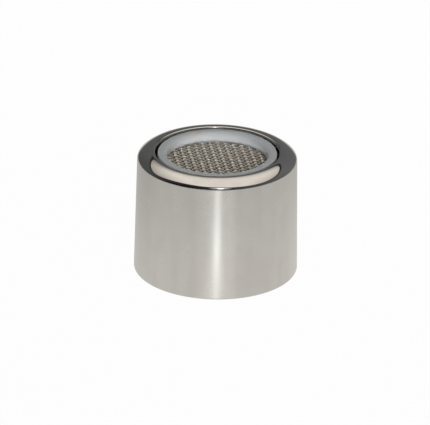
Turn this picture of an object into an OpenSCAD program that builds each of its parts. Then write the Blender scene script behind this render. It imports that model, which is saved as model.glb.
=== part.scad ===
// Tap aerator with an M22 x 1 internal inlet thread.
// It stands on its inlet rim: the origin is the centre of that rim and +Z points out of the outlet.

/* [Shell] */
// Outside diameter at the inlet rim
shell_d = 24; // [23.8:0.1:24.4]
// Outside diameter where the side wall meets the lip
shell_top_d = 23.3; // [23.1:0.1:23.4]
// Height from the inlet rim to the crest of the lip
shell_h = 18.25; // [18.15:0.05:18.35]
// Radius at which the lip is highest
crest_r = 9.45; // [9.4:0.05:9.6]
// Radius of the large round of the lip
lip_round = 3; // [2.8:0.1:3.2]
// Radius of the small round between the lip and the side wall
edge_round = 0.6; // [0.4:0.1:0.8]
// Diameter of the throat inside the lip
throat_d = 18.1; // [18:0.05:18.2]
// Radius of the round from the crest into the throat
throat_round = 0.35; // [0.2:0.05:0.35]
// Diameter of the air chamber around the cartridge
chamber_d = 19.8; // [19.4:0.1:19.9]

/* [Inlet thread] */
// Major diameter of the thread
thread_d = 22; // [22:0.05:22.1]
// Pitch of the thread
thread_pitch = 1; // [1:0.01:1.05]
// Depth of the threaded stretch from the rim
thread_len = 5.6; // [5.4:0.1:5.6]

/* [Cartridge] */
// Height of the white rim above the inlet rim
nose_h = 18.1; // [18:0.05:18.2]
// Outside diameter of the sleeve where it passes the throat
sleeve_d = 17.4; // [17.2:0.1:17.5]
// Clear diameter above the outlet screen
nose_bore_d = 14.74; // [14.6:0.02:14.9]
// Depth of the outlet screen below the white rim
screen_depth = 1.38; // [1.3:0.02:1.46]
// Diameter of the bore that holds the screen pack
pack_bore_d = 16; // [15.9:0.1:16.1]
// Number of air windows in the sleeve
windows = 8; // [6:1:10]

/* [Screens] */
// Distance from one wire to the next
screen_pitch = 1.12; // [1.05:0.01:1.2]
// Thickness of one wire
wire_d = 0.34; // [0.3:0.01:0.36]
// Thickness of the spacers between screens
spacer_t = 0.35; // [0.3:0.01:0.36]
// Turn of the outlet screen's wires about the axis
outlet_screen_turn = 9; // [0:1:45]

/* [Inlet filter and flow regulator] */
// Number of arms on the filter frame
filter_arms = 6; // [4:2:8]
// Number of flutes in the regulator's hub
flutes = 10; // [8:1:12]
// Number of jets in the outer row of the jet plate
outer_jets = 20; // [16:1:22]

/* [Hidden] */

round_fn = 96;
hole_fn = 24;
gap = 0.05;           // play between pieces that rest on each other
slot_over = 1;        // how far a cutting shape runs past what it cuts

// Shell
rim_round = 0.25;
lip_z = shell_h - lip_round;
edge_x = shell_top_d / 2 - edge_round;
edge_z = lip_z + sqrt(pow(lip_round - edge_round, 2) - pow(edge_x - crest_r, 2));
edge_angle = atan2(edge_z - lip_z, edge_x - crest_r);
throat_x = throat_d / 2 + throat_round;
throat_z = lip_z + sqrt(pow(lip_round - throat_round, 2) - pow(throat_x - crest_r, 2));
throat_angle = atan2(throat_z - lip_z, throat_x - crest_r);
throat_land = 0.3;    // straight stretch of the throat below its round
throat_bottom = throat_z - throat_land;
chamber_top = throat_bottom - (chamber_d - throat_d) / 2;
thread_minor_r = thread_d / 2 - 0.5413 * thread_pitch;
thread_lead = 0.6;    // depth of the chamfer at the thread's mouth
relief_r = thread_d / 2 + 0.15;
relief_h = 0.8;
relief_bevel = 0.15;  // height of the slopes into and out of the relief
relief_top = thread_len + relief_h;
cup_r = 10.6;         // bore that takes the washer and the cartridge's flange
shoulder_z = 9;       // the cartridge's flange rests here

// Thread groove: it starts just below the rim and ends in the middle of the relief
groove_steps = 40;    // steps in one turn
groove_start = -0.4 * thread_pitch;
groove_end = thread_len + relief_h / 2;
groove_turns = (groove_end - groove_start) / thread_pitch;
groove_in_r = thread_minor_r - 0.15;
groove_in_w = thread_pitch / 16 + (thread_d / 2 - groove_in_r) * tan(30);
groove_section = [[groove_in_r, -groove_in_w], [thread_d / 2, -thread_pitch / 16],
                  [thread_d / 2, thread_pitch / 16], [groove_in_r, groove_in_w]];

// Cartridge
flange_r = 10.35;
flange_z = 8;
collar_r = 9.3;
nose_outer_round = 0.2;
nose_inner_round = 0.5;
ledge_z = nose_h - screen_depth;
screen_t = 2 * wire_d;
screen_r = pack_bore_d / 2 - gap;
pack_step = screen_t + spacer_t;
pack_z = ledge_z - 4 * screen_t - 3 * spacer_t;
inner_screen_turns = [54, 28, 71];
spacer_bore_r = 7.2;
ring_t = 0.5;
window_w = 4.2;
window_z = 10.9;
window_h = 1.1;
collar_drop = 0.2;    // the collar ends this far below the top of the jet plate
collar_rise = 0.3;    // and its slope meets the barrel this far above it

// Jet plate, diffuser and regulator
plate_z = 9.6;
plate_t = 0.8;
plate_r = 8.3;
plate_top = plate_z + plate_t;
jet_d = 0.9;
outer_jet_r = 6.3;
inner_jets = 12;
inner_jet_r = 4.9;
stem_r = 1.2;
stem_fit = 0.02;      // play of the stem in the jet plate
cone_r = 6.2;
cone_h = 1.5;
cone_root_r = 1.8;    // where the cone's underside starts, beside the stem
cone_rise = 1;        // from the cone's root to its lower edge
cone_edge_h = 0.4;
cone_bevel = 1;       // width of the slope on its upper edge
regulator_r = 7.4;
regulator_wall_t = 0.35;
regulator_floor_z = 8.9;
regulator_floor_t = 0.4;
hub_r = 3.1;
hub_z = 7.4;
flute_r = 3.3;        // the flutes are cut from this circle
flute_d = 1.1;
drain_d = 1.3;
ring_major_r = 3.95;
ring_tube_r = 0.8;
ring_wall_r = 4.9;
ring_wall_t = 0.6;
ring_wall_z = 7.7;

// Inlet filter: everything curved shares one centre above the part
filter_r = 8.3;
filter_skirt_t = 0.7;
filter_rim_z = 7.4;
filter_tip_z = 5.8;
filter_rise = filter_rim_z - filter_tip_z;
filter_bore_r = filter_r - filter_skirt_t;
dome_r = (pow(filter_bore_r, 2) + pow(filter_rise, 2)) / (2 * filter_rise);
dome_z = filter_tip_z + dome_r;
arm_t = 0.5;
arm_w = 0.8;
filter_hub_r = 1.3;
gauze_t = 0.2;

// Sealing washer
washer_r = 10.3;
washer_bore_r = 8.5;
washer_t = 1.75;

function arc(x, z, r, from, to, steps) =
    [for (i = [0 : steps]) let (a = from + (to - from) * i / steps) [x + r * cos(a), z + r * sin(a)]];

function groove_ring(i) =
    let (a = 360 * i / groove_steps, z = groove_start + thread_pitch * i / groove_steps)
    [for (p = groove_section) [p[0] * cos(a), p[0] * sin(a), z + p[1]]];

module lathe(outline) {
    rotate_extrude($fn = round_fn) polygon(outline);
}

module tube(outer_r, inner_r, z, h) {
    translate([0, 0, z]) difference() {
        cylinder(r = outer_r, h = h, $fn = round_fn);
        translate([0, 0, -slot_over]) cylinder(r = inner_r, h = h + 2 * slot_over, $fn = round_fn);
    }
}

module row_of_holes(count, row_r, d, z, h) {
    for (i = [0 : count - 1])
        rotate(360 * i / count) translate([row_r, 0, z - slot_over])
            cylinder(d = d, h = h + 2 * slot_over, $fn = hole_fn);
}

// The V groove of the internal thread as one swept solid
module thread_groove() {
    rings = ceil(groove_turns * groove_steps);
    points = [for (i = [0 : rings]) each groove_ring(i)];
    sides = [for (i = [0 : rings - 1], k = [0 : 3])
        let (a = 4 * i + k, b = 4 * i + (k + 1) % 4)
        each [[a, b, a + 4], [b, b + 4, a + 4]]];
    ends = [[3, 2, 1, 0], [4 * rings, 4 * rings + 1, 4 * rings + 2, 4 * rings + 3]];
    polyhedron(points, concat(sides, ends));
}

module shell() {
    color("silver") difference() {
        lathe(concat(
            arc(shell_d / 2 - rim_round, rim_round, rim_round, -90, 0, 3),
            arc(edge_x, edge_z, edge_round, 0, edge_angle, 6),
            arc(crest_r, lip_z, lip_round, edge_angle, throat_angle, 10),
            arc(throat_x, throat_z, throat_round, throat_angle, 180, 6),
            [[throat_d / 2, throat_bottom],
             [chamber_d / 2, chamber_top],
             [chamber_d / 2, shoulder_z],
             [cup_r, shoulder_z],
             [cup_r, relief_top],
             [relief_r, relief_top - relief_bevel],
             [relief_r, thread_len + relief_bevel],
             [thread_minor_r, thread_len],
             [thread_minor_r, thread_lead],
             [thread_minor_r + thread_lead, 0]]));
        thread_groove();
    }
}

module sealing_washer() {
    color("dimgray") tube(washer_r, washer_bore_r, flange_z - gap - washer_t, washer_t);
}

// White sleeve: flange, collar, barrel with air windows and the flat rim of the nose
module cartridge_sleeve() {
    color("whitesmoke") difference() {
        lathe(concat(
            [[plate_r + gap, flange_z],
             [flange_r, flange_z],
             [flange_r, shoulder_z - gap],
             [collar_r, shoulder_z - gap],
             [collar_r, plate_top - collar_drop],
             [sleeve_d / 2, plate_top + collar_rise]],
            arc(sleeve_d / 2 - nose_outer_round, nose_h - nose_outer_round, nose_outer_round,
                0, 90, 4),
            arc(nose_bore_d / 2 + nose_inner_round, nose_h - nose_inner_round, nose_inner_round,
                90, 180, 6),
            [[nose_bore_d / 2, ledge_z],
             [pack_bore_d / 2, ledge_z],
             [pack_bore_d / 2, plate_top],
             [plate_r + gap, plate_top]]));
        for (i = [0 : windows - 1])
            rotate(360 * (i + 0.5) / windows)
                translate([pack_bore_d / 2 - slot_over, -window_w / 2, window_z])
                    cube([3 * slot_over, window_w, window_h]);
    }
}

// A screen is a disc with square holes at the pitch of the wires
module screen(level, turn) {
    hole = screen_pitch - wire_d;
    half = floor(screen_r / screen_pitch);
    reach = spacer_bore_r - hole / 2;
    color("darkgray") translate([0, 0, ledge_z - gap - level * pack_step - screen_t])
        rotate(turn) linear_extrude(screen_t - gap) difference() {
            circle(r = screen_r, $fn = round_fn);
            for (i = [-half : half], k = [-half : half])
                if (norm([i, k]) * screen_pitch < reach)
                    translate([i, k] * screen_pitch) square(hole, center = true);
        }
}

module outlet_screen() {
    screen(0, outlet_screen_turn);
}

module inner_screen_1() {
    screen(1, inner_screen_turns[0]);
}

module inner_screen_2() {
    screen(2, inner_screen_turns[1]);
}

module inner_screen_3() {
    screen(3, inner_screen_turns[2]);
}

module spacer(level) {
    color("gainsboro")
        tube(screen_r, spacer_bore_r, ledge_z - gap - level * pack_step, spacer_t - gap);
}

module screen_spacer_1() {
    spacer(1);
}

module screen_spacer_2() {
    spacer(2);
}

module screen_spacer_3() {
    spacer(3);
}

module retaining_ring() {
    color("gainsboro") tube(screen_r, spacer_bore_r, pack_z - gap - ring_t, ring_t - gap);
}

// Cone that breaks up the jets, held by a stem in the middle of the jet plate
module diffuser_cone() {
    color("gainsboro") lathe([
        [0, plate_z],
        [stem_r, plate_z],
        [stem_r, plate_top + gap],
        [cone_root_r, plate_top + gap],
        [cone_r, plate_top + cone_rise],
        [cone_r, plate_top + cone_rise + cone_edge_h],
        [cone_r - cone_bevel, plate_top + cone_h],
        [0, plate_top + cone_h]]);
}

module jet_plate() {
    color("steelblue") difference() {
        tube(plate_r, stem_r + stem_fit, plate_z, plate_t);
        row_of_holes(outer_jets, outer_jet_r, jet_d, plate_z, plate_t);
        row_of_holes(inner_jets, inner_jet_r, jet_d, plate_z, plate_t);
    }
}

// Regulator: a floor with drain holes, a fluted hub and the wall around the elastic ring
module regulator_body() {
    hub_h = regulator_floor_z - hub_z + regulator_floor_t / 2;
    color("seagreen") {
        difference() {
            translate([0, 0, regulator_floor_z])
                cylinder(r = regulator_r, h = regulator_floor_t, $fn = round_fn);
            row_of_holes(flutes, ring_major_r, drain_d, regulator_floor_z, regulator_floor_t);
        }
        tube(regulator_r, regulator_r - regulator_wall_t, regulator_floor_z + regulator_floor_t / 2,
             plate_z - regulator_floor_z - regulator_floor_t / 2 - gap);
        tube(ring_wall_r + ring_wall_t, ring_wall_r, ring_wall_z,
             regulator_floor_z - ring_wall_z + regulator_floor_t / 2);
        difference() {
            translate([0, 0, hub_z]) cylinder(r = hub_r, h = hub_h, $fn = round_fn);
            row_of_holes(flutes, flute_r, flute_d, hub_z, regulator_floor_z - hub_z - slot_over);
        }
    }
}

module regulator_ring() {
    color("black") translate([0, 0, regulator_floor_z - gap - ring_tube_r])
        rotate_extrude($fn = round_fn) translate([ring_major_r, 0])
            circle(r = ring_tube_r, $fn = hole_fn);
}

// Part of a hollow sphere that bulges towards the inlet
module dome(outer_r, t, reach) {
    intersection() {
        difference() {
            translate([0, 0, dome_z]) sphere(r = outer_r, $fn = round_fn);
            translate([0, 0, dome_z]) sphere(r = outer_r - t, $fn = round_fn);
        }
        cylinder(r = reach, h = dome_z, $fn = round_fn);
    }
}

module filter_frame() {
    color("whitesmoke") {
        tube(filter_r, filter_bore_r, filter_rim_z, plate_z - filter_rim_z - gap);
        intersection() {
            dome(dome_r, arm_t - gap, filter_r - filter_skirt_t / 2);
            union() {
                translate([0, 0, filter_tip_z - slot_over])
                    cylinder(r = filter_hub_r, h = filter_rise + slot_over, $fn = round_fn);
                for (i = [0 : filter_arms / 2 - 1])
                    rotate(360 * i / filter_arms)
                        translate([-filter_r, -arm_w / 2, filter_tip_z - slot_over])
                            cube([2 * filter_r, arm_w, 2 * filter_rise + slot_over]);
            }
        }
    }
}

module filter_gauze() {
    color("darkgray") dome(dome_r - arm_t, gauze_t, filter_bore_r - gap);
}

shell();
sealing_washer();
filter_frame();
filter_gauze();
regulator_body();
regulator_ring();
jet_plate();
diffuser_cone();
cartridge_sleeve();
outlet_screen();
screen_spacer_1();
inner_screen_1();
screen_spacer_2();
inner_screen_2();
screen_spacer_3();
inner_screen_3();
retaining_ring();
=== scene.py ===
"""Tap aerator: chrome shell, white cartridge with woven screens, regulator, inlet filter and washer.

Sizes are in millimetres until a mesh is made, which is when mm turns them into metres. The stage is in
metres. Z is the axis: the inlet rim is at z 0, and the outlet is at the top.
"""
import math

import bmesh
import bpy
from mathutils import Matrix, Vector


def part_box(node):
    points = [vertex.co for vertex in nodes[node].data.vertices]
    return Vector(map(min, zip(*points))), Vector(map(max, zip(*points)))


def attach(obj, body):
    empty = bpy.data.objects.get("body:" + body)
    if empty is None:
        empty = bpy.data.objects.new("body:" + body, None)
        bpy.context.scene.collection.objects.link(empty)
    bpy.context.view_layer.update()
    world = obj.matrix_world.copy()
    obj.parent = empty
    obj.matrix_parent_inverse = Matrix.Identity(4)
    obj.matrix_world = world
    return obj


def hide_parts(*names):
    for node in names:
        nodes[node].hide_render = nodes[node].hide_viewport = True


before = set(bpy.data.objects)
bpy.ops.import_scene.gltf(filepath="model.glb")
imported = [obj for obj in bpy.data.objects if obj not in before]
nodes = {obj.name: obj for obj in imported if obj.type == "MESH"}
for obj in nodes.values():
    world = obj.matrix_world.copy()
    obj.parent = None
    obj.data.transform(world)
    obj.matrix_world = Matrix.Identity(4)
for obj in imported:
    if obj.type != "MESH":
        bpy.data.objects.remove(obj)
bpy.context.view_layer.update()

mm = 0.001
TAU = 2 * math.pi
weld = 0.0005         # points closer than this are joined


def node_box(name):
    """Lowest and highest corner of a CAD node, in millimetres."""
    low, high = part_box(name)
    return low / mm, high / mm


# ---------------------------------------------------------------- mesh helpers

def arc(x, z, radius, start, end, steps):
    """Points of a circular arc in the plane of a lathe outline, from start to end in degrees."""
    angles = [math.radians(start + (end - start) * i / steps) for i in range(steps + 1)]
    return [(x + radius * math.cos(a), z + radius * math.sin(a)) for a in angles]


def rounded_box_outline(inner, outer, low, high, corner, steps=5):
    """Anticlockwise outline of a ring's section with round corners."""
    return (arc(outer - corner, low + corner, corner, -90, 0, steps)
            + arc(outer - corner, high - corner, corner, 0, 90, steps)
            + arc(inner + corner, high - corner, corner, 90, 180, steps)
            + arc(inner + corner, low + corner, corner, 180, 270, steps))


def smooth(mesh, angle):
    """Shades a mesh smooth, apart from edges sharper than angle degrees."""
    mesh.shade_smooth()
    mesh.set_sharp_from_angle(angle=math.radians(angle))


def mesh_object(name, points, faces, smooth_angle=40):
    """A new object from points in millimetres. Edges sharper than smooth_angle degrees stay sharp."""
    mesh = bpy.data.meshes.new(name)
    mesh.from_pydata([tuple(mm * v for v in p) for p in points], [], faces)
    mesh.update()
    smooth(mesh, smooth_angle)
    piece = bpy.data.objects.new(name, mesh)
    bpy.context.scene.collection.objects.link(piece)
    return piece


def lathe(name, outline_at, steps, smooth_angle=40):
    """Turns a closed outline about Z. outline_at(turn) gives its (radius, z) points, anticlockwise, for a
    share of a turn from 0 to 1, so that a thread can climb as the outline goes round."""
    points = []
    for i in range(steps + 1):
        a = TAU * i / steps
        points += [(r * math.cos(a), r * math.sin(a), z) for r, z in outline_at(i / steps)]
    count = len(points) // (steps + 1)
    faces = []
    for i in range(steps):
        for k in range(count):
            here, after, n = i * count, (i + 1) * count, (k + 1) % count
            faces.append((here + k, after + k, after + n, here + n))
    piece = mesh_object(name, points, faces, smooth_angle)
    close_seams(piece, smooth_angle)
    return piece


def close_seams(piece, smooth_angle):
    """Welds points that lie on each other and drops the faces that this leaves without an area."""
    mesh = piece.data
    work = bmesh.new()
    work.from_mesh(mesh)
    bmesh.ops.remove_doubles(work, verts=work.verts, dist=weld * mm)
    bmesh.ops.dissolve_degenerate(work, edges=work.edges, dist=weld * mm)
    work.to_mesh(mesh)
    work.free()
    smooth(mesh, smooth_angle)


def cut(piece, cutters, smooth_angle=40):
    """Subtracts the cutters from the piece and removes them."""
    for cutter in cutters:
        step = piece.modifiers.new("cut", "BOOLEAN")
        step.operation = "DIFFERENCE"
        step.object = cutter
        step.solver = "EXACT"
    shape = piece.evaluated_get(bpy.context.evaluated_depsgraph_get())
    mesh = bpy.data.meshes.new_from_object(shape)
    piece.modifiers.clear()
    piece.data = mesh
    for cutter in cutters:
        bpy.data.objects.remove(cutter)
    smooth(mesh, smooth_angle)


def wires(name, paths, radius, sides, width=1):
    """Wires along paths that each stay in one upright plane, closed at both ends. A width above 1 makes
    them flat: that many times as wide as they are thick."""
    points = []
    faces = []
    for path in paths:
        across = Vector((0, 0, 1)).cross(path[-1] - path[0]).normalized()
        first = len(points)
        for i, p in enumerate(path):
            along = path[min(i + 1, len(path) - 1)] - path[max(i - 1, 0)]
            up = along.cross(across).normalized()
            for k in range(sides):
                a = TAU * k / sides
                points.append(p + radius * (width * math.cos(a) * across + math.sin(a) * up))
        for i in range(len(path) - 1):
            row = first + i * sides
            for k in range(sides):
                n = (k + 1) % sides
                faces.append((row + k, row + n, row + sides + n, row + sides + k))
        last = first + (len(path) - 1) * sides
        faces.append(tuple(first + k for k in reversed(range(sides))))
        faces.append(tuple(last + k for k in range(sides)))
    return mesh_object(name, points, faces, smooth_angle=60)


def finish_piece(piece, body, slot, material, *replaced):
    """Gives a new piece its material and body, and hides the CAD nodes that it stands for. slot is not used.
    """
    piece.data.materials.clear()
    piece.data.materials.append(material)
    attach(piece, body)
    if replaced:
        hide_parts(*replaced)


# ---------------------------------------------------------------- material helpers

class Nodes:
    """The node tree of a material or a world. Each call adds a node, and most return its output."""

    def __init__(self, owner, coordinates="Object"):
        owner.use_nodes = True
        self.tree = owner.node_tree
        self.tree.nodes.clear()
        self.place = self.node("ShaderNodeTexCoord", {}).outputs[coordinates]

    def node(self, kind, inputs, **settings):
        """Adds a node. Its inputs are constants or the outputs of other nodes."""
        made = self.tree.nodes.new(kind)
        for key, value in settings.items():
            setattr(made, key, value)
        for key, value in inputs.items():
            if isinstance(value, bpy.types.NodeSocket):
                self.tree.links.new(value, made.inputs[key])
            else:
                made.inputs[key].default_value = value
        return made

    def axes(self):
        """The x, y and z of the place, in metres on an object and as a direction in the world."""
        return self.node("ShaderNodeSeparateXYZ", {"Vector": self.place}).outputs

    def distance(self):
        """The distance of the place from the origin."""
        return self.node("ShaderNodeVectorMath", {0: self.place}, operation="LENGTH").outputs["Value"]

    def distance_to(self, value, centre=0.0):
        """How far a value is from a centre, on either side."""
        return self.calc("ABSOLUTE", self.calc("SUBTRACT", value, centre))

    def noise(self, scale, detail=3.0, roughness=0.5, stretch=(1, 1, 1)):
        """Soft noise with about scale waves in a millimetre, stretched along the axes."""
        shares = tuple(s / mm for s in stretch)
        place = self.node("ShaderNodeMapping", {"Vector": self.place, "Scale": shares}).outputs[0]
        inputs = {"Vector": place, "Scale": scale, "Detail": detail, "Roughness": roughness}
        return self.node("ShaderNodeTexNoise", inputs).outputs["Fac"]

    def remap(self, value, low, high, to_low, to_high):
        """Takes low to to_low and high to to_high, in a straight line between them and level outside."""
        inputs = {"Value": value, "From Min": low, "From Max": high, "To Min": to_low, "To Max": to_high}
        return self.node("ShaderNodeMapRange", inputs).outputs["Result"]

    def calc(self, operation, a, b=0.0):
        return self.node("ShaderNodeMath", {0: a, 1: b}, operation=operation).outputs[0]

    def total(self, first, *others):
        for value in others:
            first = self.calc("ADD", first, value)
        return first

    def product(self, first, *others):
        for value in others:
            first = self.calc("MULTIPLY", first, value)
        return first

    def blend(self, factor, a, b):
        """Blends two colours by factor."""
        return self.node("ShaderNodeMix", {0: factor, 6: a, 7: b}, data_type="RGBA").outputs[2]

    def either(self, factor, a, b):
        """The shader a where factor is 0 and b where it is 1."""
        return self.node("ShaderNodeMixShader", {0: factor, 1: a, 2: b}).outputs[0]

    def glow(self, colour, strength):
        return self.node("ShaderNodeEmission", {"Color": colour, "Strength": strength}).outputs[0]

    def ray(self, kind):
        """1 for rays of one kind, such as "Is Camera Ray"."""
        return self.node("ShaderNodeLightPath", {}).outputs[kind]


class Recipe(Nodes):
    """A material made of one shader with procedural inputs."""

    def __init__(self, name, **sockets):
        self.material = bpy.data.materials.new(name)
        super().__init__(self.material)
        constants = {key.replace("_", " "): value for key, value in sockets.items()}
        self.shader = self.node("ShaderNodeBsdfPrincipled", constants)
        self.node("ShaderNodeOutputMaterial", {"Surface": self.shader.outputs[0]})

    def drive(self, socket, value):
        self.tree.links.new(value, self.shader.inputs[socket])

    def bump(self, height, distance):
        """A bump of height from 0 to 1, distance millimetres deep."""
        made = self.node("ShaderNodeBump", {"Height": height, "Distance": distance * mm})
        self.drive("Normal", made.outputs["Normal"])


def rgb(r, g, b):
    """An opaque colour."""
    return (r, g, b, 1)


# ---------------------------------------------------------------- materials

lip_edge_z = 17.25    # height of the line where the polished lip meets the satin wall
lip_roughness = 0.04


def chrome_material():
    """Polished lip, and a satin wall with faint clouds and upright streaks."""
    m = Recipe("chrome_plate", Metallic=1.0)
    z = m.axes()[2]
    on_wall = m.remap(z, (lip_edge_z - 0.05) * mm, (lip_edge_z + 0.05) * mm, 1, 0)
    clouds = m.noise(0.4, 2, 0.5)
    streaks = m.noise(0.7, 0, 0.5, (1, 1, 0.12))
    patches = m.product(m.total(clouds, streaks), 0.5)
    satin = m.remap(patches, 0.3, 0.7, 0.19, 0.25)
    m.drive("Roughness", m.total(m.product(satin, on_wall), lip_roughness))
    tone = m.remap(patches, 0.35, 0.65, 0, 1)
    m.drive("Base Color", m.blend(tone, rgb(0.535, 0.525, 0.505), rgb(0.575, 0.568, 0.552)))
    m.bump(m.product(m.noise(0.8, 0, 0.5, (1, 1, 0.2)), on_wall), 0.003)
    return m.material


def moulded_plastic(name, low, high, gloss, subsurface, painted_shade=None):
    """Moulded plastic with a faint grain and slow changes of tone. The last argument gives two heights
    between which the colour turns to a painted shade, and the colour of that shade."""
    m = Recipe(name, Subsurface_Weight=subsurface, Subsurface_Scale=1.2 * mm, IOR=1.49)
    m.shader.inputs["Subsurface Radius"].default_value = (1.0, 0.9, 0.8)
    clouds = m.noise(0.3, 3, 0.5)
    grain = m.noise(14, 2, 0.6)
    colour = m.blend(m.remap(clouds, 0.35, 0.65, 0, 1), low, high)
    if painted_shade:
        start, end, dull = painted_shade
        # painted shade: the colour darkens between the two heights
        colour = m.blend(m.remap(m.axes()[2], start * mm, end * mm, 0, 1), colour, dull)
    m.drive("Base Color", colour)
    m.drive("Roughness", m.remap(m.noise(1.1, 3), 0.3, 0.7, gloss, gloss + 0.12))
    m.bump(grain, 0.004)
    return m.material


def wire_material(name, dark, light):
    """Drawn stainless wire with a thin film of scale, dull patches between bright ones."""
    m = Recipe(name, Metallic=0.75)
    stains = m.noise(1.4, 4, 0.6)
    m.drive("Base Color", m.blend(m.remap(stains, 0.35, 0.65, 0, 1), dark, light))
    m.drive("Roughness", m.remap(m.noise(3, 3), 0.3, 0.7, 0.25, 0.45))
    m.bump(m.noise(20, 2, 0.6), 0.004)
    return m.material


def rubber_material(name, dark, light, roughness):
    """Rubber with a fine moulded grain and a grey bloom in patches."""
    m = Recipe(name, IOR=1.5)
    bloom = m.noise(0.8, 4, 0.6)
    m.drive("Base Color", m.blend(m.remap(bloom, 0.4, 0.7, 0, 1), dark, light))
    m.drive("Roughness", m.remap(m.noise(5, 3), 0.3, 0.7, roughness, roughness + 0.2))
    m.bump(m.noise(16, 3, 0.6), 0.012)
    return m.material


# ---------------------------------------------------------------- shell

shell_r = 12
shell_top_r = 11.65
shell_h = 18.25
crest_r = 9.45
lip_round = 3
edge_round = 0.6
throat_r = 9.05
throat_round = 0.22
throat_land = 0.3
chamber_r = 9.9
shoulder_z = 9
cup_r = 10.6
rim_round = 0.25
thread_r = 11         # major radius of the internal thread
thread_pitch = 1
thread_minor_r = thread_r - 0.5413 * thread_pitch
thread_top = 5.6
thread_lead = 0.6     # height and depth of the chamfer at the thread's mouth
thread_low = 0.02     # height of the lowest row of points in the thread
relief_r = thread_r + 0.15
relief_bevel = 0.15
relief_top = 6.4
groove_phase = -0.4   # height of the groove's middle at the start of a turn
# Half widths of the groove where its outline bends, from the middle out, in pitches
groove_bends = (0, 0.0625, 0.14, 0.2187, 0.3, 0.375)


def thread_radius(z, turn):
    """Radius of the threaded hole at a height, with the chamfer at its mouth and the relief above it."""
    away = (z - groove_phase - thread_pitch * turn) / thread_pitch
    away = abs(away - round(away))
    flank = thread_r - max(0, away - groove_bends[1]) * thread_pitch * math.sqrt(3)
    lead = thread_minor_r + thread_lead - z
    relief = thread_minor_r + (z - thread_top) * (relief_r - thread_minor_r) / relief_bevel
    return max(flank, thread_minor_r, lead, relief)


def thread_outline(turn):
    """The thread's outline from the relief down to the rim: its rows climb one pitch in a turn."""
    high = thread_top + relief_bevel
    bends = sorted({s * b for b in groove_bends for s in (-1, 1)} | {0.5})
    first = math.floor((thread_low - groove_phase) / thread_pitch) - 2
    last = math.ceil((high - groove_phase) / thread_pitch) + 1
    rows = [groove_phase + thread_pitch * (n + b + turn) for n in range(first, last) for b in bends]
    heights = [min(max(z, thread_low), high) for z in rows]
    return [(thread_radius(z, turn), z) for z in reversed(heights)]


def shell_outline(turn):
    """The shell's section: up the wall, over the lip, down the throat and through the thread."""
    lip_z = shell_h - lip_round
    edge_x = shell_top_r - edge_round
    edge_z = lip_z + math.sqrt((lip_round - edge_round) ** 2 - (edge_x - crest_r) ** 2)
    edge_angle = math.degrees(math.atan2(edge_z - lip_z, edge_x - crest_r))
    throat_x = throat_r + throat_round
    throat_z = lip_z + math.sqrt((lip_round - throat_round) ** 2 - (throat_x - crest_r) ** 2)
    throat_angle = math.degrees(math.atan2(throat_z - lip_z, throat_x - crest_r))
    throat_bottom = throat_z - throat_land
    mouth_r = thread_minor_r + thread_lead
    return (arc(shell_r - rim_round, rim_round, rim_round, -90, 0, 8)
            + arc(edge_x, edge_z, edge_round, 0, edge_angle, 12)
            + arc(crest_r, lip_z, lip_round, edge_angle, throat_angle, 40)
            + arc(throat_x, throat_z, throat_round, throat_angle, 180, 12)
            + [(throat_r, throat_bottom),
               (chamber_r, throat_bottom - (chamber_r - throat_r)),
               (chamber_r, shoulder_z),
               (cup_r, shoulder_z),
               (cup_r, relief_top),
               (relief_r, relief_top - relief_bevel)]
            + thread_outline(turn)
            + [(mouth_r, 0)])


chrome = chrome_material()
shell = lathe("chrome_shell", shell_outline, 320, 32)
finish_piece(shell, "housing", "shell", chrome, "shell")


# ---------------------------------------------------------------- washer

rubber = rubber_material("washer_rubber", rgb(0.018, 0.018, 0.019), rgb(0.045, 0.045, 0.046), 0.55)
washer_bore_r = 8.5
washer_corner = 0.18
low, high = node_box("sealing_washer")
washer_outline = rounded_box_outline(washer_bore_r, high.x, low.z, high.z, washer_corner)
washer = lathe("rubber_washer", lambda turn: washer_outline, 160, 50)
finish_piece(washer, "washer", "washer", rubber, "sealing_washer")


# ---------------------------------------------------------------- cartridge sleeve

sleeve_r = 8.7
nose_bore_r = 7.37
nose_h = 18.1
ledge_z = 16.72
pack_bore_r = 8
plate_bore_r = 8.35
plate_top = 10.4
flange_r = 10.35
flange_z = 8
flange_top = 8.95
collar_r = 9.3
collar_drop = 0.2     # the collar ends this far below plate_top
collar_foot = 0.1     # width of the fillet between the collar and the sleeve
collar_rise = 0.4     # height of the fillet's top above plate_top
soft_edge = 0.12      # round on the sleeve's moulded edges
nose_outer_round = 0.2
nose_inner_round = 0.5
windows = 8
window_w = 4.2
window_z = 10.9
window_h = 1.1
window_corner = 0.3


def sleeve_outline(turn):
    """The sleeve's section, the same at every turn: flange, collar, nose, and down the bores."""
    e = soft_edge
    outer = nose_outer_round
    inner = nose_inner_round
    return ([(plate_bore_r + e, flange_z)]
            + arc(flange_r - e, flange_z + e, e, -90, 0, 4)
            + arc(flange_r - e, flange_top - e, e, 0, 90, 4)
            + [(collar_r, flange_top)]
            + arc(collar_r - e, plate_top - collar_drop - e, e, 0, 70, 4)
            + [(sleeve_r + collar_foot, plate_top + 0.55 * collar_rise),
               (sleeve_r, plate_top + collar_rise)]
            + arc(sleeve_r - outer, nose_h - outer, outer, 0, 90, 8)
            + arc(nose_bore_r + inner, nose_h - inner, inner, 90, 180, 14)
            + [(nose_bore_r, ledge_z),
               (pack_bore_r, ledge_z),
               (pack_bore_r, plate_top),
               (plate_bore_r, plate_top),
               (plate_bore_r, flange_z + e)])


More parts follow.
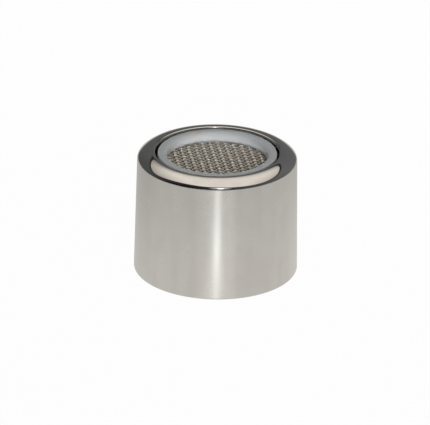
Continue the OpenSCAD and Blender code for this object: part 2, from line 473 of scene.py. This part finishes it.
def window_cutter(index):
    """A block with round corners that leaves one air window in the sleeve."""
    outline = rounded_slot(window_w, window_h, window_corner)
    reach = (pack_bore_r - 1, sleeve_r + 1)
    points = [(x, y, z + window_z + window_h / 2) for x in reach for y, z in outline]
    count = len(outline)
    faces = [(k, (k + 1) % count, count + (k + 1) % count, count + k) for k in range(count)]
    faces += [tuple(reversed(range(count))), tuple(range(count, 2 * count))]
    cutter = mesh_object("cutter", points, faces)
    cutter.data.transform(Matrix.Rotation(TAU * (index + 0.5) / windows, 4, "Z"))
    return cutter


def rounded_slot(width, height, corner):
    """Anticlockwise outline of a rectangle with round corners, around its middle."""
    x, z = width / 2 - corner, height / 2 - corner
    return (arc(x, -z, corner, -90, 0, 4) + arc(x, z, corner, 0, 90, 4)
            + arc(-x, z, corner, 90, 180, 4) + arc(-x, -z, corner, 180, 270, 4))


# Painted shade: the sleeve turns darker towards the top of its nose.
rim_shade_h = 0.9          # height of the stretch at the top of the nose that painted shade darkens
rim_painted_shade = (nose_h - rim_shade_h, nose_h, rgb(0.49, 0.51, 0.52))
sleeve_plastic = moulded_plastic("sleeve_plastic", rgb(0.67, 0.69, 0.70), rgb(0.74, 0.755, 0.75), 0.3, 0.8,
                                 rim_painted_shade)
sleeve = lathe("white_sleeve", sleeve_outline, 224, 40)
cut(sleeve, [window_cutter(i) for i in range(windows)])
finish_piece(sleeve, "cartridge", "sleeve_plastic", sleeve_plastic, "cartridge_sleeve")


# ---------------------------------------------------------------- woven screens

rib_pitch = 1.12      # distance between the thick straight wires
rib_d = 0.23          # their thickness
rib_width = 2         # how many times wider than thick they are
rib_steps = 12
weft_pitch = 0.5      # distance between the thin wires woven over and under them
weft_d = 0.2
screen_r = 7.93
rib_turn = 9          # direction of the outlet screen's thick wires, from the Y axis
lower_turns = (54, 28, 71)


def chord(offset, reach):
    """Half the length of a chord at that distance from the middle of a circle."""
    return math.sqrt(max(0, reach ** 2 - offset ** 2))


def woven_screen(name, node, turn, material, sides, fineness):
    """Straight ribs with thin wires that wave over and under them, in the space of a CAD screen. fineness
    is the number of points along a thin wire between two ribs."""
    low, high = node_box(node)
    middle = (low.z + high.z) / 2
    wave = (rib_d + weft_d) / 2
    spin = Matrix.Rotation(math.radians(turn), 3, "Z")
    ribs = []
    columns = int(screen_r / rib_pitch)
    for i in range(-columns, columns + 1):
        x = i * rib_pitch
        y = chord(x, screen_r)
        ribs.append([spin @ Vector((x, y * (2 * k / rib_steps - 1), middle)) for k in range(rib_steps + 1)])
    wefts = []
    rows = int(screen_r / weft_pitch)
    for j in range(-rows, rows + 1):
        y = j * weft_pitch
        x = chord(y, screen_r - weft_d)
        steps = max(4, round(2 * x / rib_pitch * fineness))
        side = 1 if j % 2 else -1
        row = []
        for k in range(steps + 1):
            u = x * (2 * k / steps - 1)
            row.append(spin @ Vector((u, y, middle + side * wave * math.cos(math.pi * u / rib_pitch))))
        wefts.append(row)
    rib_piece = wires(name + "_ribs", ribs, rib_d / 2, sides + 4, rib_width)
    weft_piece = wires(name + "_wires", wefts, weft_d / 2, sides)
    finish_piece(rib_piece, "cartridge", "screen_steel", material, node)
    finish_piece(weft_piece, "cartridge", "screen_steel", material)


steel = wire_material("screen_wire", rgb(0.66, 0.61, 0.54), rgb(0.90, 0.86, 0.79))
woven_screen("outlet_weave", "outlet_screen", rib_turn, steel, 8, 10)
# The lower screens get a darker copy of the wire: painted shade for the shade inside the cartridge.
shaded_steel = wire_material("shaded_wire", rgb(0.20, 0.18, 0.15), rgb(0.34, 0.31, 0.27))
for index, turn in enumerate(lower_turns, 1):
    woven_screen(f"lower_weave_{index}", f"inner_screen_{index}", turn, shaded_steel, 5, 6)


# ---------------------------------------------------------------- inlet filter

gauze_pitch = 0.6
gauze_wire_d = 0.13
gauze_margin = 0.1    # kept free above and below the wires in the CAD gauze's box


def gauze_dome(name, node, material):
    """Two sets of fine wires woven over a shallow dome that bulges towards the inlet."""
    low, high = node_box(node)
    reach = high.x - gauze_wire_d
    rise = high.z - low.z - 2 * gauze_margin
    ball_r = (reach ** 2 + rise ** 2) / (2 * rise)
    centre_z = low.z + gauze_margin + ball_r
    rows = int(reach / gauze_pitch)
    x_axis = Vector((1, 0, 0))
    y_axis = Vector((0, 1, 0))
    paths = []
    for along, across, lift in ((x_axis, y_axis, 1), (y_axis, x_axis, -1)):
        for j in range(-rows, rows + 1):
            offset = j * gauze_pitch
            half = chord(offset, reach)
            steps = max(4, round(2 * half / gauze_pitch * 5))
            side = lift if j % 2 else -lift
            row = []
            for k in range(steps + 1):
                u = half * (2 * k / steps - 1)
                z = centre_z - math.sqrt(ball_r ** 2 - u ** 2 - offset ** 2)
                wave = side * gauze_wire_d / 2 * math.cos(math.pi * u / gauze_pitch)
                row.append(along * u + across * offset + Vector((0, 0, z + wave)))
            paths.append(row)
    piece = wires(name, paths, gauze_wire_d / 2, 6)
    finish_piece(piece, "filter", "screen_steel", material, node)


gauze_dome("filter_weave", "filter_gauze", steel)


# ---------------------------------------------------------------- CAD nodes that keep their shape

inner_white = moulded_plastic("inner_plastic", rgb(0.72, 0.72, 0.69), rgb(0.80, 0.80, 0.77), 0.32, 0.2)
blue_plastic = moulded_plastic("jet_plastic", rgb(0.10, 0.19, 0.33), rgb(0.14, 0.24, 0.40), 0.35, 0.1)
green_plastic = moulded_plastic("regulator_plastic", rgb(0.17, 0.28, 0.19), rgb(0.22, 0.34, 0.24), 0.35, 0.1)
ring_rubber = rubber_material("ring_rubber", rgb(0.012, 0.012, 0.012), rgb(0.03, 0.03, 0.03), 0.3)
kept = {
    "filter_frame": inner_white,
    "screen_spacer_1": inner_white,
    "screen_spacer_2": inner_white,
    "screen_spacer_3": inner_white,
    "retaining_ring": inner_white,
    "diffuser_cone": inner_white,
    "jet_plate": blue_plastic,
    "regulator_body": green_plastic,
    "regulator_ring": ring_rubber,
}
for name, material in kept.items():
    nodes[name].data.materials.clear()
    nodes[name].data.materials.append(material)


# ---------------------------------------------------------------- stage, light and camera, in metres

floor_z = -0.026      # low enough for the insert to be drawn out of the shell above it
front_y = -0.012      # y of the shell's front
streak_slope = 0.03   # direction in which the floor's streak runs to the front, as x over distance
faint_slope = 0.43    # direction of the fainter streak beside it
softbox_z = 0.4
softbox_top = 1.21    # brightness of the softbox over the part
softbox_border = 1.12  # size of the dim border, in softboxes
spark_width = 0.25
spark_height = 0.4
spark_core = 0.045    # radius of the spark's bright middle


def paint(name, surface_of):
    """A material whose surface is the shader that surface_of(nodes) returns."""
    made = bpy.data.materials.new(name)
    n = Nodes(made)
    n.node("ShaderNodeOutputMaterial", {"Surface": surface_of(n)})
    return made


def paper(n):
    """White paper: almost evenly lit to the camera and unseen from below. In reflections it is brighter
    near the part, darker behind its left, with a streak of light in front and a faint one beside that."""
    matt = n.node("ShaderNodeBsdfDiffuse", {"Color": rgb(0.9, 0.9, 0.89)}).outputs[0]
    white = n.glow(rgb(1, 1, 1), 1.0)
    x, y = n.axes()[:2]
    ahead = n.calc("SUBTRACT", front_y, y)
    slope = n.calc("DIVIDE", x, ahead)
    aside = n.distance_to(slope, streak_slope)
    near_end = n.remap(ahead, 0.056, 0.068, 0.3, 1)
    far_end = n.remap(ahead, 0.074, 0.086, 1, 0.42)
    in_front = n.remap(ahead, 0.02, 0.03, 0, 1)
    streak = n.product(n.remap(aside, 0, 0.09, 4, 0), near_end, far_end, in_front)
    haze = n.product(n.remap(aside, 0, 0.6, 0.25, 0), n.remap(ahead, 0.06, 0.1, 1, 0), in_front)
    faint = n.product(n.remap(n.distance_to(slope, faint_slope), 0, 0.15, 0.17, 0), in_front)
    back_left = n.calc("SUBTRACT", y, n.product(x, 0.3))
    near = n.remap(n.distance(), 0.075, 0.115, 0.95, 0.79)
    base = n.product(near, n.remap(back_left, 0.02, 0.085, 1, 0.8))
    tint = n.blend(n.remap(streak, 0, 2, 0, 1), rgb(1.0, 0.97, 0.92), rgb(0.98, 1.0, 1.02))
    lit = n.glow(tint, n.total(base, faint, streak, haze))
    seen = n.either(n.product(n.ray("Is Camera Ray"), 0.97), matt, white)
    seen = n.either(n.product(n.ray("Is Glossy Ray"), 0.9), seen, lit)
    clear = n.node("ShaderNodeBsdfTransparent", {}).outputs[0]
    below = n.node("ShaderNodeNewGeometry", {}).outputs["Backfacing"]
    return n.either(below, seen, clear)


def softbox_glow(n):
    """Brightest over the part, dimmer towards its far end and its sides."""
    x, y = n.axes()[:2]
    along = n.calc("MINIMUM", softbox_top, n.calc("DIVIDE", 0.975, n.calc("ADD", y, 0.526)))
    left = n.remap(x, -0.4, -0.12, 0.45, 1)
    right = n.remap(x, 0.15, 0.36, 1, 0.6)
    tip = n.remap(y, 0.45, 0.75, 1, 0.35)
    return n.glow(rgb(1.0, 0.93, 0.85), n.product(along, left, right, tip))


def spark_glow(n):
    """A point of light with wide tails."""
    x, y = n.axes()[:2]
    core = n.remap(n.distance(), 0, spark_core, 22, 0)
    tails = n.remap(n.distance_to(x), 0, spark_width / 2, 3.2, 0)
    fade = n.remap(n.distance_to(y), 0, spark_height / 2, 1, 0)
    return n.glow(rgb(0.88, 0.93, 1.0), n.total(core, n.product(tails, fade)))


def border_glow(n):
    """A faint rim around the softbox."""
    return n.glow(rgb(1, 1, 1), 0.03)


def panel(name, outline, place, surface_of, tilt=0):
    """A flat lamp made of one face, which only reflections show."""
    mesh = bpy.data.meshes.new(name)
    mesh.from_pydata([(x, y, 0) for x, y in outline], [], [tuple(range(len(outline)))])
    made = bpy.data.objects.new(name, mesh)
    made.location = place
    made.rotation_euler.x = math.radians(tilt)
    bpy.context.scene.collection.objects.link(made)
    mesh.materials.append(paint(name, surface_of))
    made.visible_camera = False
    made.visible_shadow = False
    made.visible_diffuse = False


def softened(outline, rounds=4):
    """Cuts the corners of a closed outline a few times, which makes it a smooth curve."""
    for _ in range(rounds):
        pairs = list(zip(outline, outline[1:] + outline[:1]))
        outline = [(a[0] * s + b[0] * (1 - s), a[1] * s + b[1] * (1 - s))
                   for a, b in pairs for s in (0.75, 0.25)]
    return outline


bpy.ops.mesh.primitive_plane_add(size=8, location=(0, 0, floor_z))
floor = bpy.context.object
floor.name = "paper_floor"
floor.data.materials.append(paint("paper", paper))

softbox_outline = softened([(-0.44, 0.22), (-0.25, 0.01), (0, -0.15), (0.29, -0.06), (0.36, 0.2),
                            (0.26, 0.4), (0.1, 0.64), (-0.03, 0.84), (-0.16, 0.64), (-0.36, 0.4)])
border_outline = [(softbox_border * x, softbox_border * y - 0.02) for x, y in softbox_outline]
spark_outline = [(sx * spark_width / 2, sy * spark_height / 2)
                 for sx, sy in ((-1, -1), (1, -1), (1, 1), (-1, 1))]
panel("softbox", softbox_outline, (0, 0, softbox_z), softbox_glow)
panel("softbox_border", border_outline, (0, 0, softbox_z + 0.01), border_glow)
panel("spark", spark_outline, (0.04, -0.35, 0.4), spark_glow, tilt=90)


def lamp(name, place, width, height, energy):
    """An area lamp that points at the middle of the part and doesn't show in reflections."""
    light = bpy.data.lights.new(name, "AREA")
    light.shape = "RECTANGLE"
    light.size = width
    light.size_y = height
    light.energy = energy
    made = bpy.data.objects.new(name, light)
    made.location = place
    aim = Vector((0, 0, 0.01))
    made.rotation_euler = (aim - made.location).to_track_quat("-Z", "Y").to_euler()
    made.visible_glossy = False
    bpy.context.scene.collection.objects.link(made)


lamp("front", (0.04, -0.6, 0.16), 0.3, 0.2, 3.0)
lamp("behind", (0, 0.5, 0.3), 0.4, 0.3, 1.8)


def make_world():
    """Dim surroundings, darkest at the camera's left. The camera itself sees white."""
    world = bpy.data.worlds.new("studio")
    bpy.context.scene.world = world
    n = Nodes(world, "Generated")
    x, y = n.axes()[:2]
    strength = n.total(n.remap(x, -0.6, 0.6, 0.012, 0.1), n.remap(y, -0.4, 0.5, 0, 0.1))
    dim = n.node("ShaderNodeBackground", {"Color": rgb(0.97, 0.99, 1.0), "Strength": strength}).outputs[0]
    white = n.node("ShaderNodeBackground", {"Color": rgb(1, 1, 1), "Strength": 1.0}).outputs[0]
    n.node("ShaderNodeOutputWorld", {"Surface": n.either(n.ray("Is Camera Ray"), dim, white)})


make_world()
bpy.context.scene.view_settings.view_transform = "Standard"

camera_distance = 0.6
camera_elevation = math.radians(24.186)
camera_roll = math.radians(0.98)
camera_aim = Vector((-0.00019, 0, 0.00848))
camera_lens = 343.2


def make_camera():
    """A camera with a long lens, in front of the part and above it."""
    data = bpy.data.cameras.new("camera")
    data.lens = camera_lens
    data.sensor_width = 36
    data.clip_start = 0.01
    back = Vector((0, -math.cos(camera_elevation), math.sin(camera_elevation)))
    camera = bpy.data.objects.new("camera", data)
    upright = (-back).to_track_quat("-Z", "Y").to_matrix()
    camera.rotation_euler = (upright @ Matrix.Rotation(camera_roll, 3, "Z")).to_euler()
    camera.location = camera_aim + camera_distance * back
    bpy.context.scene.collection.objects.link(camera)
    bpy.context.scene.camera = camera


make_camera()
